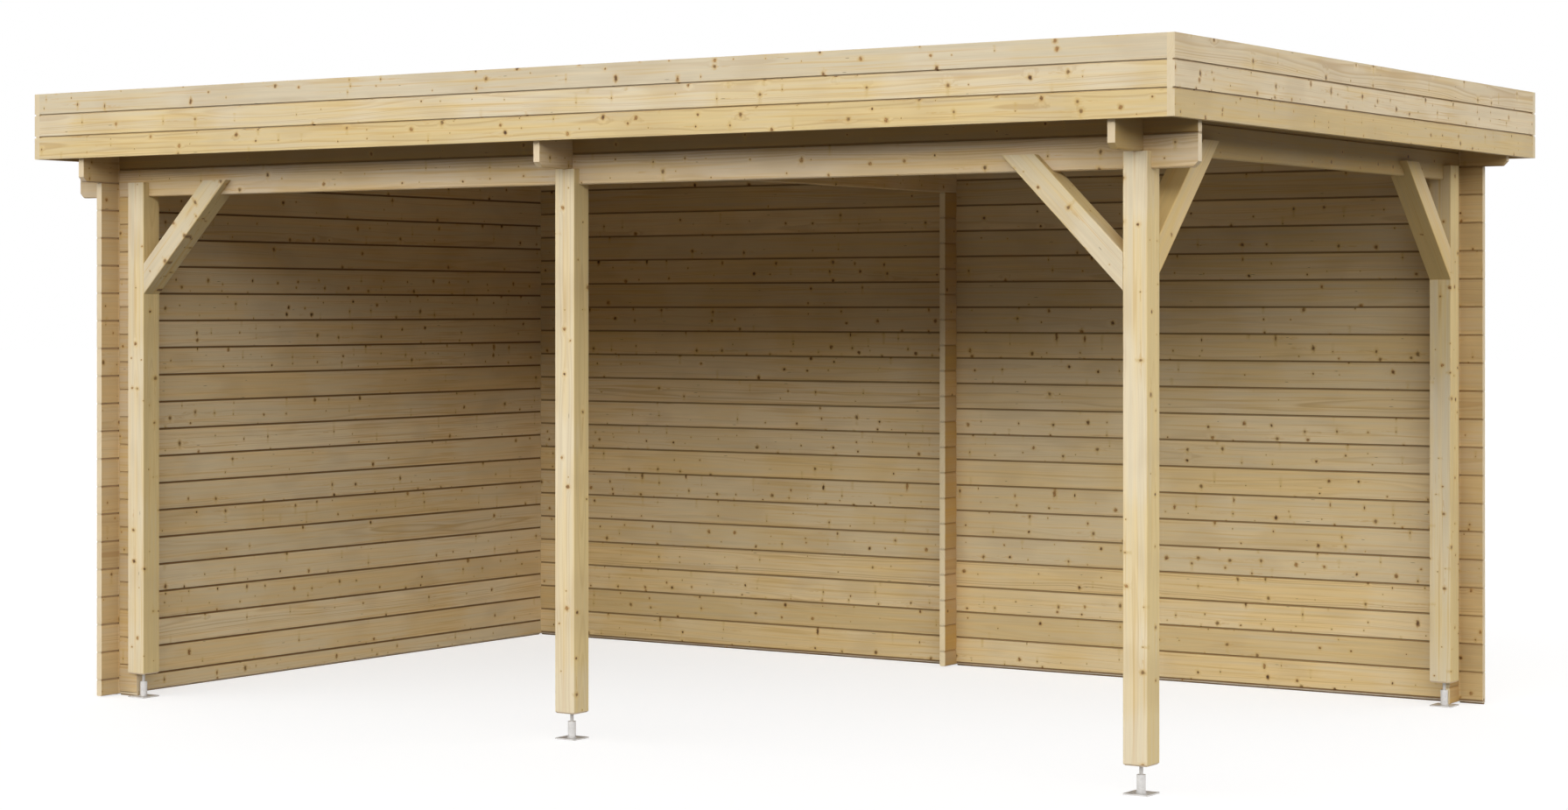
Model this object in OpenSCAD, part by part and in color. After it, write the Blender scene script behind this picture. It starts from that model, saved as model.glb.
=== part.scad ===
// Garden pavilion of planed, interlocking spruce logs under a flat roof.
// The left side and the back are log walls; the front and the right side
// stand open on posts. X runs along the front to the right, Y runs back,
// Z is up. The origin is on the ground under the middle of the roof.

/* [Logs] */
// Thickness of a log
log_t = 28; // [21:1:45]
// Height that one course of logs adds to a wall
course = 114; // [90:1:140]
// Full courses under the front beam
wall_courses = 18; // [16:1:19]
// Bevel along the edges of a log's two faces
bevel = 4; // [2:0.5:5]
// Tongue on the top of a log: width
tongue_w = 10; // [6:0.5:11]
// Tongue on the top of a log: height
tongue_h = 8; // [5:0.5:10]
// Play of a groove or a notch round what sits in it
play = 0.5; // [0.3:0.1:1]

/* [Plan] */
// Distance between the centre lines of the left, middle and right log rows
bay = 2365; // [2000:5:2500]
// Distance between the centre lines of the front beam and the back wall
room_depth = 2830; // [2400:5:3000]
// How far a wall log runs on past the log that it crosses
log_end = 100; // [60:5:120]
// How far a log that carries the roof runs on past the log that it crosses
roof_end = 200; // [150:5:300]

/* [Base] */
// Height of the front and back walls' first log above the ground
base_h = 14; // [12:1:20]
// Height of the half logs that start the side walls above the ground
half_log_gap = 5; // [4:1:8]
// How far the foot of a base strip is set back from the log's face
strip_setback = 8; // [4:0.5:9]
// Height of that set-back foot
strip_foot_h = 6.5; // [4:0.5:8]

/* [Posts and braces] */
// Side of the square posts and braces
post_w = 90; // [80:1:120]
// Height of a post's underside above the ground
post_gap = 97; // [80:1:150]
// Distance from a wall's centre line to the middle of the post beside it
post_offset = 140; // [130:1:155]
// Arris planed off the long edges of posts and braces
arris = 2; // [1:0.5:6]
// Bevel round the underside of a post
foot_bevel = 6; // [4:1:12]
// How far a brace reaches along its beam and down its post
brace_reach = 460; // [300:5:520]

/* [Post feet] */
// Thickness of a foot's base plate
plate_t = 5; // [4:1:8]
// Outer diameter of a foot's sleeve
sleeve_d = 30; // [26:1:40]
// Height of a foot's sleeve
sleeve_h = 60; // [40:1:70]
// Diameter of the threaded stem
stem_d = 14; // [12:1:20]
// Length of the stem inside the post
stem_in_post = 100; // [60:5:150]

/* [Roof] */
// Thickness of the fascia boards
fascia_t = 28; // [18:1:35]
// Height that one fascia board adds
fascia_course = 91; // [80:1:100]
// Height of the fascia's top above the ground
roof_top = 2489; // [2480:1:2600]
// Number of fascia boards, one above the other
fascia_boards = 3; // [2:1:4]
// Height of the fascia's lower edge above the ground
fascia_bottom = 2220; // [2200:1:2240]
// Width of the open joint between two fascia boards
fascia_gap = 8; // [4:1:12]
// Thickness of the roof boards
deck_t = 19; // [16:1:25]
// Thickness of the roofing felt
felt_t = 4; // [3:0.5:6]
// Height of the felt's turned-up edge
felt_upstand = 60; // [40:5:100]
// Number of purlins between the front beam and the back wall
purlins = 5; // [4:1:6]
// Width of a purlin
purlin_w = 44; // [35:1:60]
// Height of a purlin
purlin_h = 56; // [45:1:57]
// Length of the bevel under the ends of the logs that carry the roof
tip = 20; // [10:1:30]

/* [Hidden] */
$fn = 48;

x_left = -bay;
x_right = bay;
y_front = -room_depth / 2;
y_back = room_depth / 2;

half_t = log_t / 2;
half_post = post_w / 2;
notch_w = log_t + 2 * play;
// Each of two crossing logs gives up a quarter of a course, top and bottom
notch_d = course / 4;

// Heights by courses: wall logs across the front and back start at base_h,
// and the logs across them lie half a course higher
function level(n) = base_h + n * course;
beam_bottom = level(wall_courses);
cross_beam_bottom = level(wall_courses + 0.5);
wall_top = level(wall_courses + 2);

roof_x = bay + half_t + roof_end;
roof_y = room_depth / 2 + half_t + roof_end;
outer_x = roof_x + fascia_t;
outer_y = roof_y + fascia_t;

// The roof falls to the back by half a course over its length
fall = (course / 2) / (y_back + roof_y);
fall_angle = atan(fall);
function roof_z(y) = wall_top + (y_back - y) * fall;

// Courses of each kind of log
odd_courses = [for (n = [1 : 2 : wall_courses]) n];
even_courses = [for (n = [2 : 2 : wall_courses]) n];

// Section of a log: bevelled faces, a groove below and a tongue above
module log_section(h, groove = true) {
    groove_x = tongue_w / 2 + play;
    groove_y = tongue_h + play;
    right_bottom = groove
        ? [[groove_x, groove_y], [groove_x, 0], [half_t - bevel, 0]]
        : [[half_t - bevel, 0]];
    left_bottom = groove
        ? [[bevel - half_t, 0], [-groove_x, 0], [-groove_x, groove_y]]
        : [[bevel - half_t, 0]];
    polygon(concat(
        right_bottom,
        [[half_t, bevel], [half_t, h - bevel], [half_t - bevel, h]],
        [[tongue_w / 2, h], [tongue_w / 2, h + tongue_h]],
        [[-tongue_w / 2, h + tongue_h], [-tongue_w / 2, h]],
        [[bevel - half_t, h], [-half_t, h - bevel], [-half_t, bevel]],
        left_bottom
    ));
}

// A log along X from a to b, notched where others cross over and under it
module log(a, b, over = [], under = [], h = course, groove = true) {
    difference() {
        translate([a, 0, 0])
            rotate([90, 0, 90])
            linear_extrude(b - a)
            log_section(h, groove);
        for (x = over)
            translate([x - notch_w / 2, -log_t, h - notch_d])
                cube([notch_w, 2 * log_t, notch_d + 2 * tongue_h]);
        for (x = under)
            translate([x - notch_w / 2, -log_t, -notch_d])
                cube([notch_w, 2 * log_t, 2 * notch_d]);
    }
}

// A log that runs on to the roof's edge, with the lower corners of both ends
// bevelled. It is grooved only over the log below it, which gives its extent.
module roof_log(a, b, over, under, log_below) {
    difference() {
        log(a, b, over, under, groove = false);
        translate([log_below[0], -tongue_w / 2 - play, -play])
            cube([log_below[1] - log_below[0], tongue_w + 2 * play, tongue_h + 2 * play]);
        for (x = [a, b])
            translate([x, 0, 0])
                rotate([0, 45, 0])
                cube([tip * sqrt(2), 2 * log_t, tip * sqrt(2)], center = true);
    }
}

// Places a log that is drawn along X so that it runs to the back at x
module to_back(x, z) {
    translate([x, 0, z]) rotate([0, 0, 90]) children();
}

// All the space under the roof boards
module under_roof() {
    rotate([90, 0, 90])
        translate([0, 0, -2 * roof_x])
        linear_extrude(4 * roof_x)
        polygon([
            [-2 * roof_y, 0],
            [2 * roof_y, 0],
            [2 * roof_y, roof_z(2 * roof_y)],
            [-2 * roof_y, roof_z(-2 * roof_y)]
        ]);
}

// The part of a log that the roof boards rest on, planed to the roof's fall
module planed_to_roof() {
    intersection() {
        children();
        under_roof();
    }
}

// Logs that run to the back, from a to b, in the courses that are given
module cross_logs(x, a, b, crossings, courses) {
    color("burlywood")
        for (n = courses)
            to_back(x, level(n - 0.5)) log(a, b, crossings, crossings);
}

// The half log that starts a row of cross logs, close above the ground
module half_log(x, a, b, crossings) {
    color("burlywood")
        to_back(x, half_log_gap)
        log(a, b, crossings, [], base_h + course / 2 - half_log_gap, false);
}

// The beam course of a row of cross logs
module cross_beam(x, log_below) {
    crossings = [y_front, y_back];
    color("tan")
        to_back(x, cross_beam_bottom)
        roof_log(-roof_y, roof_y, crossings, crossings, log_below);
}

// The top log of a row of cross logs, ripped to the fall and notched for purlins
module taper_log(x) {
    color("burlywood")
        difference() {
            planed_to_roof()
                to_back(x, cross_beam_bottom + course)
                log(-roof_y, roof_y, [], [y_front, y_back]);
            translate([x - log_t, y_front - notch_w / 2, wall_top + notch_d])
                cube([2 * log_t, notch_w, course]);
            roof_purlin_notches();
        }
}

// Y of the purlins' centre lines
purlin_rows = [for (i = [1 : purlins]) y_front + i * room_depth / (purlins + 1)];

// Where a purlin lies: its top is planed to the roof's fall
module purlin_bar(y, w, extra) {
    translate([0, y, roof_z(y)])
        rotate([-fall_angle, 0, 0])
        translate([-roof_x - extra, -w / 2, -purlin_h])
        cube([2 * (roof_x + extra), w, purlin_h + extra]);
}

module roof_purlin_notches() {
    for (y = purlin_rows)
        purlin_bar(y, purlin_w + 2 * play, course);
}

// Logs along X in the courses that are given
module long_logs(y, a, b, crossings, courses) {
    color("burlywood")
        for (n = courses)
            translate([0, y, level(n - 1)]) log(a, b, crossings, crossings);
}

// A strip under a long log, with a rib that fills the log's groove, a lip as
// far out as is given, and a narrow foot
module long_strip(a, b, lip = half_t) {
    foot = half_t - strip_setback;
    top = half_t - bevel;
    strip_h = base_h - 3;
    color("wheat")
        translate([a, 0, 0])
        rotate([90, 0, 90])
        linear_extrude(b - a)
        polygon([
            [-foot, 0], [foot, 0], [foot, strip_foot_h], [lip, strip_foot_h],
            [lip, strip_h], [top, strip_h], [top, base_h], [tongue_w / 2, base_h],
            [tongue_w / 2, base_h + tongue_h], [-tongue_w / 2, base_h + tongue_h],
            [-tongue_w / 2, base_h], [-top, base_h], [-top, strip_h], [-lip, strip_h],
            [-lip, strip_foot_h], [-foot, strip_foot_h]
        ]);
}

module back_base_strips() {
    wall_x = bay + half_t + log_end;
    gap = notch_w / 2;
    translate([0, y_back, 0]) {
        long_strip(-wall_x, x_left - gap);
        long_strip(x_left + gap, -gap);
        long_strip(gap, x_right - gap);
        long_strip(x_right + gap, wall_x);
    }
}

module left_base_strips() {
    gap = notch_w / 2;
    foot = half_t - strip_setback;
    translate([0, y_front, 0]) {
        long_strip(x_left - half_t - log_end, x_left - gap, foot + 2);
        long_strip(x_left + gap, x_left + half_t + log_end, foot + 2);
    }
    color("wheat")
        translate([x_left - foot, y_front + gap, 0])
        cube([2 * foot, room_depth - 2 * gap, half_log_gap]);
}

// Left wall
wall_y = room_depth / 2 + half_t + log_end;

module left_wall_odd_logs() {
    cross_logs(x_left, -wall_y, wall_y, [y_front, y_back], odd_courses);
}

module left_wall_even_logs() {
    half_log(x_left, -wall_y, wall_y, [y_front, y_back]);
    cross_logs(x_left, -wall_y, wall_y, [y_front, y_back], even_courses);
}

module left_wall_top_log() {
    cross_beam(x_left, [-wall_y, wall_y]);
}

module left_taper_log() {
    taper_log(x_left);
}

// Back wall
wall_x = bay + half_t + log_end;
rows = [x_left, 0, x_right];

module back_wall_odd_logs() {
    long_logs(y_back, -wall_x, wall_x, rows, concat(odd_courses, [wall_courses + 1]));
}

module back_wall_even_logs() {
    long_logs(y_back, -wall_x, wall_x, rows, even_courses);
}

module back_wall_top_log() {
    color("tan")
        planed_to_roof()
        translate([0, y_back, level(wall_courses + 1)])
        roof_log(-roof_x, roof_x, rows, rows, [-wall_x, wall_x]);
}

// Short log rows that stiffen the walls' ends and the middle of the back wall
stub = half_t + log_end;

module front_left_stub_odd_logs() {
    long_logs(y_front, x_left - stub, x_left + stub, [x_left], odd_courses);
}

module front_left_stub_even_logs() {
    long_logs(y_front, x_left - stub, x_left + stub, [x_left], even_courses);
}

module back_stub_odd_logs(x) {
    cross_logs(x, y_back - stub, y_back + stub, [y_back], odd_courses);
}

module back_stub_even_logs(x) {
    half_log(x, y_back - stub, y_back + stub, [y_back]);
    cross_logs(x, y_back - stub, y_back + stub, [y_back], even_courses);
}

module middle_stub_odd_logs() {
    back_stub_odd_logs(0);
}

module middle_stub_even_logs() {
    back_stub_even_logs(0);
}

module back_right_stub_odd_logs() {
    back_stub_odd_logs(x_right);
}

module back_right_stub_even_logs() {
    back_stub_even_logs(x_right);
}

// Front beam: two logs and a half log that fills up to the roof boards
module front_beam_lower_log() {
    color("tan")
        translate([0, y_front, beam_bottom])
        roof_log(-roof_x, roof_x, rows, [x_left], [x_left - stub, x_left + stub]);
}

module front_beam_upper_log() {
    color("tan")
        translate([0, y_front, beam_bottom + course])
        log(-roof_x, roof_x, rows, rows);
}

module front_beam_half_log() {
    color("tan")
        planed_to_roof()
        translate([0, y_front, wall_top])
        log(-roof_x, roof_x, [], rows);
}

// Beams from the front to the back wall
module middle_beam_log() {
    cross_beam(0, [y_back - stub, y_back + stub]);
}

module middle_taper_log() {
    taper_log(0);
}

module side_beam_log() {
    cross_beam(x_right, [y_back - stub, y_back + stub]);
}

module side_taper_log() {
    taper_log(x_right);
}

// Square bar with planed arrises, along Z
module bar(h) {
    a = half_post;
    b = half_post - arris;
    linear_extrude(h)
        polygon([
            [a, -b], [a, b], [b, a], [-b, a],
            [-a, b], [-a, -b], [-b, -a], [b, -a]
        ]);
}

// A post under a beam that runs along X: two cheeks hold the beam's lower
// half, a groove takes the ends of the stub logs, a bore takes the foot's stem
module post(beam_z, grooved) {
    top = beam_z + course / 2;
    color("moccasin")
        difference() {
            translate([0, 0, post_gap]) bar(top - post_gap);
            translate([-post_w, -notch_w / 2, beam_z])
                cube([2 * post_w, notch_w, course]);
            if (grooved)
                translate([-post_w, -notch_w / 2, 0])
                    cube([post_w - half_post + groove_in_post, notch_w, top + course]);
            for (turn = [0 : 90 : 270])
                rotate([0, 0, turn])
                    translate([half_post, 0, post_gap])
                    rotate([0, 45, 0])
                    cube([foot_bevel * sqrt(2), 2 * post_w, foot_bevel * sqrt(2)], center = true);
            translate([0, 0, post_gap - 1])
                cylinder(d = stem_d + 2 * stem_play, h = stem_in_post + 1);
        }
}

// Depth of the groove in a post that stands against a stub's log ends
groove_in_post = half_t + log_end - (post_offset - half_post) + 1;
// Radial play of the stem in the post and in the sleeve
stem_play = 0.25;

module at_front_left_post() {
    translate([x_left + post_offset, y_front, 0]) children();
}

module at_middle_post() {
    translate([0, y_front, 0]) children();
}

module at_corner_post() {
    translate([x_right, y_front, 0]) children();
}

module at_back_right_post() {
    translate([x_right, y_back - post_offset, 0]) rotate([0, 0, -90]) children();
}

module front_left_post() {
    at_front_left_post() post(beam_bottom, true);
}

module middle_post() {
    at_middle_post() post(beam_bottom, false);
}

module corner_post() {
    at_corner_post() post(beam_bottom, false);
}

module back_right_post() {
    at_back_right_post() post(cross_beam_bottom, true);
}

// A brace from a post's face out along +X to the beam, slotted over the beam
module brace(beam_z) {
    top = beam_z + course / 2;
    reach = brace_reach - half_post * sqrt(2);
    color("moccasin")
        difference() {
            intersection() {
                translate([reach, 0, top])
                    rotate([0, 45, 0])
                    translate([0, 0, -2 * brace_reach])
                    bar(4 * brace_reach);
                translate([0, -post_w, top - 2 * brace_reach])
                    cube([2 * brace_reach, 2 * post_w, 2 * brace_reach]);
            }
            translate([-1, -notch_w / 2, beam_z])
                cube([2 * brace_reach, notch_w, course]);
        }
}

module front_left_brace() {
    at_front_left_post() translate([half_post, 0, 0]) brace(beam_bottom);
}

module corner_front_brace() {
    at_corner_post() rotate([0, 0, 180]) translate([half_post, 0, 0]) brace(beam_bottom);
}

module corner_side_brace() {
    at_corner_post() rotate([0, 0, 90]) translate([half_post, 0, 0]) brace(cross_beam_bottom);
}

module back_right_brace() {
    at_back_right_post() translate([half_post, 0, 0]) brace(cross_beam_bottom);
}

// Base plate with the sleeve that the stem screws into
module foot() {
    color("silver") {
        translate([-half_post, -half_post, 0]) cube([post_w, post_w, plate_t]);
        difference() {
            translate([0, 0, plate_t - 0.01]) cylinder(d = sleeve_d, h = sleeve_h + 0.01);
            translate([0, 0, plate_t + 1]) cylinder(d = stem_d + 2 * stem_play, h = sleeve_h);
        }
    }
}

module stem() {
    bottom = plate_t + 1;
    color("gainsboro")
        translate([0, 0, bottom])
        cylinder(d = stem_d, h = post_gap + stem_in_post - bottom);
}

module front_left_foot() {
    at_front_left_post() foot();
}

module middle_foot() {
    at_middle_post() foot();
}

module corner_foot() {
    at_corner_post() foot();
}

module back_right_foot() {
    at_back_right_post() foot();
}

module front_left_stem() {
    at_front_left_post() stem();
}

module middle_stem() {
    at_middle_post() stem();
}

module corner_stem() {
    at_corner_post() stem();
}

module back_right_stem() {
    at_back_right_post() stem();
}

// Roof
module roof_purlins() {
    color("tan")
        for (y = purlin_rows)
            purlin_bar(y, purlin_w, 0);
}

// A layer of the roof from one height above the fall to another
module roof_layer(low, high, inset) {
    y = roof_y - inset;
    translate([-(roof_x - inset), 0, 0])
        rotate([90, 0, 90])
        linear_extrude(2 * (roof_x - inset))
        polygon([
            [-y, roof_z(-y) + low], [y, roof_z(y) + low],
            [y, roof_z(y) + high], [-y, roof_z(-y) + high]
        ]);
}

module roof_deck() {
    color("wheat") roof_layer(0, deck_t, 0);
}

module roof_felt() {
    color("dimgray")
        difference() {
            roof_layer(deck_t, deck_t + felt_upstand, 0);
            roof_layer(deck_t + felt_t, deck_t + 2 * felt_upstand, felt_t);
        }
}

// Section of the fascia with its outer face at x = 0 and its back at x = -fascia_t
module fascia_section() {
    difference() {
        translate([-fascia_t, 0]) square([fascia_t, roof_top - fascia_bottom]);
        for (i = [1 : fascia_boards - 1])
            translate([-fascia_gap, i * fascia_course - fascia_gap / 2])
                square([2 * fascia_gap, fascia_gap]);
    }
}

// A length of fascia along X from a to b, its outer face towards -Y
module fascia(a, b) {
    color("navajowhite")
        translate([b, 0, fascia_bottom])
        rotate([90, 0, -90])
        linear_extrude(b - a)
        fascia_section();
}

module front_fascia() {
    translate([0, -outer_y, 0]) fascia(-roof_x, roof_x);
}

module back_fascia() {
    rotate([0, 0, 180]) translate([0, -outer_y, 0]) fascia(-outer_x, outer_x);
}

module right_fascia() {
    rotate([0, 0, 90]) translate([0, -outer_x, 0]) fascia(-outer_y, roof_y);
}

module left_fascia() {
    rotate([0, 0, -90]) translate([0, -outer_x, 0]) fascia(-roof_y, outer_y);
}

back_base_strips();
left_base_strips();
left_wall_odd_logs();
left_wall_even_logs();
left_wall_top_log();
left_taper_log();
back_wall_odd_logs();
back_wall_even_logs();
back_wall_top_log();
front_left_stub_odd_logs();
front_left_stub_even_logs();
middle_stub_odd_logs();
middle_stub_even_logs();
back_right_stub_odd_logs();
back_right_stub_even_logs();
front_beam_lower_log();
front_beam_upper_log();
front_beam_half_log();
middle_beam_log();
middle_taper_log();
side_beam_log();
side_taper_log();
front_left_post();
middle_post();
corner_post();
back_right_post();
front_left_brace();
corner_front_brace();
corner_side_brace();
back_right_brace();
front_left_foot();
middle_foot();
corner_foot();
back_right_foot();
front_left_stem();
middle_stem();
corner_stem();
back_right_stem();
roof_purlins();
roof_deck();
roof_felt();
front_fascia();
back_fascia();
left_fascia();
right_fascia();
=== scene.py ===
import math

import bmesh
import bpy
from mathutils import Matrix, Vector


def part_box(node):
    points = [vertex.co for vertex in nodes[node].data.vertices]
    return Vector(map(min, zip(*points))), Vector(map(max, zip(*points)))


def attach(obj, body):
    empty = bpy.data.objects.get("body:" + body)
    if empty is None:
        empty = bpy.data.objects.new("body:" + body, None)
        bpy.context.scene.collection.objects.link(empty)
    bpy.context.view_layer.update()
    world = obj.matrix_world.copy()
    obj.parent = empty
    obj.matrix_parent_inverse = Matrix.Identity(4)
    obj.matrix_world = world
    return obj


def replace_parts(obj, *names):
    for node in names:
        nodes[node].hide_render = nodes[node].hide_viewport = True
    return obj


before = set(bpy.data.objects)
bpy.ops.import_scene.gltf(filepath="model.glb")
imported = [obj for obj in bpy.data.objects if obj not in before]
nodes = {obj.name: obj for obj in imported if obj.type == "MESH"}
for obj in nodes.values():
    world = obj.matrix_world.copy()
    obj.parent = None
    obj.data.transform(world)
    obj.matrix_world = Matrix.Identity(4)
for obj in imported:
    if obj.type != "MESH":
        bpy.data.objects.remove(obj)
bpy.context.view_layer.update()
scene = bpy.context.scene
scene.view_settings.view_transform = "Standard"

# ------------------------------------------------------------------ Camera
# Stands level at eye height off the open front corner, with a short tele
# lens. The small shift keeps the posts upright and the roof in the frame.
eye = Vector((6.966, -10.502, 1.606))
turn_to_left = math.radians(33.51)
sensor_width = 36.0
focal_length = 70.28
shift_down = 0.0618

camera_data = bpy.data.cameras.new("camera")
camera_data.sensor_width = sensor_width
camera_data.lens = focal_length
camera_data.shift_y = -shift_down
camera_data.clip_end = 200.0
camera = bpy.data.objects.new("camera", camera_data)
camera.location = eye
camera.rotation_euler = (math.radians(90), 0, turn_to_left)
scene.collection.objects.link(camera)
scene.camera = camera


# ------------------------------------------------------------------ Studio
# A ring of soft light all round, brightest in front, from a little above
# eye height up to halfway to the zenith, so the room darkens to its roof.
def plug(tree, value, socket):
    """Links a value that a node works out to the socket, or sets a plain one."""
    if isinstance(value, Flow):
        tree.links.new(value.socket, socket)
    elif isinstance(value, bpy.types.NodeSocket):
        tree.links.new(value, socket)
    else:
        socket.default_value = value


def add_node(tree, kind, sockets, **settings):
    """Adds a node with these settings and with these values on its inputs."""
    made = tree.nodes.new(kind)
    for name, value in settings.items():
        setattr(made, name, value)
    for key, value in sockets.items():
        plug(tree, value, made.inputs[key])
    return made


class Flow:
    """A number that a node tree works out. Arithmetic on it adds Math nodes."""

    def __init__(self, tree, socket):
        self.tree = tree
        self.socket = socket

    def math(self, operation, *others):
        values = dict(enumerate((self, *others)))
        made = add_node(self.tree, "ShaderNodeMath", values, operation=operation)
        return Flow(self.tree, made.outputs[0])

    def __add__(self, other):
        return self.math("ADD", other)

    def __sub__(self, other):
        return self.math("SUBTRACT", other)

    def __mul__(self, other):
        return self.math("MULTIPLY", other)

    def __truediv__(self, other):
        return self.math("DIVIDE", other)

    def __rsub__(self, other):
        return self.math("MULTIPLY_ADD", -1.0, other)

    __radd__ = __add__
    __rmul__ = __mul__

    def rise(self, low, high):
        """0 below low, 1 above high, and a smooth rise between them."""
        sockets = {"Value": self, "From Min": low, "From Max": high}
        made = add_node(
            self.tree, "ShaderNodeMapRange", sockets, interpolation_type="SMOOTHSTEP"
        )
        return Flow(self.tree, made.outputs[0])

    def hump(self, width):
        """1 at 0, and fading away on both sides as a bell curve."""
        scaled = self / width
        return (scaled * scaled * -1.0).math("EXPONENT")


def split(tree, vector):
    """The three numbers of a vector or a colour."""
    made = add_node(tree, "ShaderNodeSeparateXYZ", {0: vector})
    return [Flow(tree, output) for output in made.outputs]


def seen_directly(tree):
    """1 for rays from the camera, and in gloss and glass; 0 for lighting."""
    path = tree.nodes.new("ShaderNodeLightPath").outputs
    ray = Flow(tree, path["Is Camera Ray"])
    for kind in ("Is Glossy Ray", "Is Transmission Ray"):
        ray = ray.math("MAXIMUM", path[kind])
    return ray


ring_start = math.radians(9.5)
ring_full = math.radians(12)
ring_fade = math.radians(23)
ring_dip = math.radians(2.5)
ring_strength = 3.15
front_boost = 0.66

world = bpy.data.worlds.new("studio")
scene.world = world
world.use_nodes = True
tree = world.node_tree
direction = tree.nodes.new("ShaderNodeTexCoord").outputs["Generated"]
to_right, to_back, upwards = split(tree, direction)
sideways = (to_right * to_right + to_back * to_back).math("SQRT")
frontness = (to_back / sideways * -1.0).math("MAXIMUM", 0.0)
rightness = (to_right / sideways).math("MAXIMUM", 0.0)
height_angle = upwards.math("ARCSINE") + rightness * rightness * rightness * ring_dip
above_ring = (height_angle - ring_full).math("MAXIMUM", 0.0)
ring = height_angle.rise(ring_start, ring_full) * above_ring.hump(ring_fade)
ring = ring * ring_strength * (1.0 + frontness * front_boost)
seen = seen_directly(tree)
plug(tree, seen + (1.0 - seen) * ring, tree.nodes["Background"].inputs["Strength"])
tree.nodes["Background"].inputs["Color"].default_value = (1, 1, 1, 1)

# The floor glows almost white, and shows the shadows in what is left.
floor_reach = 80.0
floor_glow = 0.66
floor_paint_seen = 0.44
floor_paint_lighting = 0.17

floor_mesh = bpy.data.meshes.new("floor")
corners = [(-1, -1, 0), (1, -1, 0), (1, 1, 0), (-1, 1, 0)]
floor_mesh.from_pydata([Vector(c) * floor_reach for c in corners], [], [(0, 1, 2, 3)])
floor = bpy.data.objects.new("floor", floor_mesh)
scene.collection.objects.link(floor)

floor_paint = bpy.data.materials.new("floor paint")
floor_paint.use_nodes = True
tree = floor_paint.node_tree
shader = tree.nodes["Principled BSDF"]
shader.inputs["Roughness"].default_value = 1.0
shader.inputs["Specular IOR Level"].default_value = 0.0
shader.inputs["Emission Color"].default_value = (1, 1, 1, 1)
seen = seen_directly(tree)
paint = seen * (floor_paint_seen - floor_paint_lighting) + floor_paint_lighting
plug(tree, paint, shader.inputs["Base Color"])
plug(tree, seen * floor_glow, shader.inputs["Emission Strength"])
floor_mesh.materials.append(floor_paint)


# ------------------------------------------------------------------ Base strips
# Planed softwood strips that carry the walls clear of the ground: a rib in
# the first log's groove, a pale lip, and a set-back foot. The foot, and on
# the back strips the top above the lip, are darkened with painted shade.
X_AXIS = Vector((1, 0, 0))
Y_AXIS = Vector((0, 1, 0))
Z_AXIS = Vector((0, 0, 1))


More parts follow.
